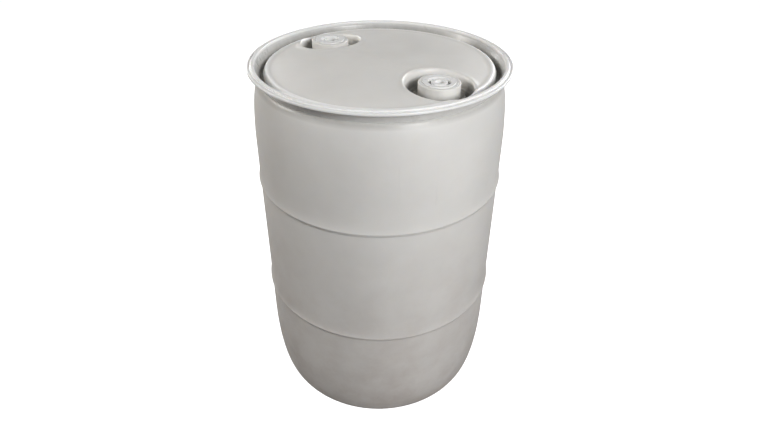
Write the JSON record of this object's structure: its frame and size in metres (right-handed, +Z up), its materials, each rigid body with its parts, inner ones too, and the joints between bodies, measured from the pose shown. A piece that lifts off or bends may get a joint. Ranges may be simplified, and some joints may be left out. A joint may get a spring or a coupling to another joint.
{
  "type": "tight head plastic drum",
  "caption": "Tall round blow-moulded plastic drum with a closed head, a raised handling ring, two body beads and recessed screw bungs.",
  "frame": {"origin": "on the floor, on the drum's axis, at the middle of the foot", "axes": "+Z up the drum's axis; the front bung lies towards -Y and +X, 48 degrees from +X"},
  "size_m": [0.5949, 0.595, 0.883],
  "materials": {
    "shell_plastic": "satin",
    "ring_plastic": "satin",
    "insert_plastic": "satin",
    "plug_plastic": "satin",
    "gasket_foam": "matte"
  },
  "bodies": {
    "drum": {"drum_shell": "shell_plastic", "handling_ring": "ring_plastic", "front_threaded_insert": "insert_plastic", "rear_threaded_insert": "insert_plastic"},
    "front_gasket": {"front_plug_gasket": "gasket_foam"},
    "front_plug": {"front_bung_plug": "plug_plastic"},
    "reducer_seal": {"reducer_gasket": "gasket_foam"},
    "reducer": {"reducer_plug": "plug_plastic"},
    "rear_gasket": {"rear_plug_gasket": "gasket_foam"},
    "rear_plug": {"rear_bung_plug": "plug_plastic"}
  },
  "joints": [
    {"name": "front_plug_lift", "type": "slide", "parent": "drum", "child": "front_gasket", "axis": [0, 0, 1], "range_m": [0, 0.0199]},
    {"name": "front_plug_turn", "type": "hinge", "parent": "front_gasket", "child": "front_plug", "pos_m": [0.12312, -0.13674, 0.874], "axis": [0, 0, 1], "range_deg": [0, 3240]},
    {"name": "reducer_lift", "type": "slide", "parent": "front_plug", "child": "reducer_seal", "axis": [0, 0, 1], "range_m": [0, 0.01272]},
    {"name": "reducer_turn", "type": "hinge", "parent": "reducer_seal", "child": "reducer", "pos_m": [0.12312, -0.13674, 0.8735], "axis": [0, 0, 1], "range_deg": [0, 2520]},
    {"name": "rear_plug_lift", "type": "slide", "parent": "drum", "child": "rear_gasket", "axis": [0, 0, 1], "range_m": [0, 0.02002]},
    {"name": "rear_plug_turn", "type": "hinge", "parent": "rear_gasket", "child": "rear_plug", "pos_m": [-0.12312, 0.13674, 0.874], "axis": [0, 0, 1], "range_deg": [0, 1800]}
  ],
  "couplings": [
    {"joint": "front_plug_lift", "follows": "front_plug_turn", "m_per_rad": 0.00035157},
    {"joint": "reducer_lift", "follows": "reducer_turn", "m_per_rad": 0.00028871},
    {"joint": "rear_plug_lift", "follows": "rear_plug_turn", "m_per_rad": 0.00063662}
  ]
}
